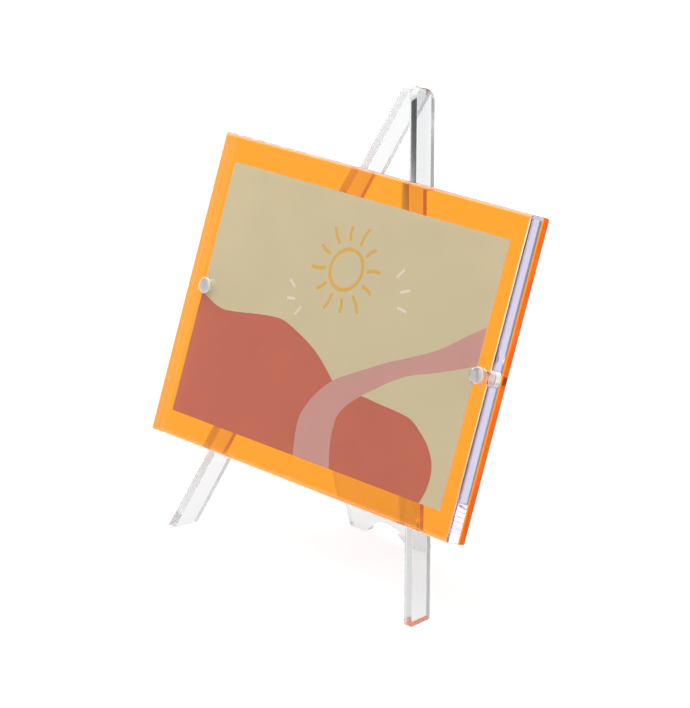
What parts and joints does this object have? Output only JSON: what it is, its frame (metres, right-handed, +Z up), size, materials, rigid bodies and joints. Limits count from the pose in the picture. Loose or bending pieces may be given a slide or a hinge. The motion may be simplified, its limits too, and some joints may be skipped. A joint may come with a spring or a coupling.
{
  "type": "photo frame on easel",
  "caption": "Magnetic acrylic photo frame with a clear front block and a fluorescent orange back panel, on a clear A-frame easel with a folding rear strut.",
  "frame": {"origin": "on the surface the easel stands on, under the centre of the bounding box", "axes": "+X along the frame's width to the viewer's right, +Y to the rear, +Z up"},
  "size_m": [0.17, 0.0732, 0.1801],
  "materials": {
    "clear_acrylic": "polished clear cast acrylic",
    "clear_block": "thick polished clear cast acrylic",
    "orange_acrylic": "fluorescent orange cast acrylic, edges glow red-orange",
    "print": "satin photo paper with a flat colour landscape print",
    "magnet": "nickel-plated disc magnet"
  },
  "bodies": {
    "easel": {"left_leg": "clear_acrylic", "right_leg": "clear_acrylic", "hinge_rod": "clear_acrylic", "back_panel": "orange_acrylic", "panel_magnet_left": "magnet", "panel_magnet_right": "magnet"},
    "front_block": {"front_block": "clear_block", "block_magnet_left": "magnet", "block_magnet_right": "magnet"},
    "photo": {"photo_print": "print"},
    "rear_strut": {"rear_strut": "clear_acrylic", "strut_lug_left": "clear_acrylic", "strut_lug_right": "clear_acrylic"}
  },
  "joints": [
    {"name": "block_pull", "type": "slide", "parent": "easel", "child": "front_block", "axis": [0, -0.9415, 0.3371], "range_m": [0, 0.04]},
    {"name": "photo_slide", "type": "slide", "parent": "easel", "child": "photo", "axis": [0, 0.3371, 0.9415], "range_m": [0, 0.115]},
    {"name": "strut_fold", "type": "hinge", "parent": "easel", "child": "rear_strut", "pos_m": [0, -0.00492, 0.07363], "axis": [1, 0, 0], "range_deg": [-44, 0]}
  ]
}
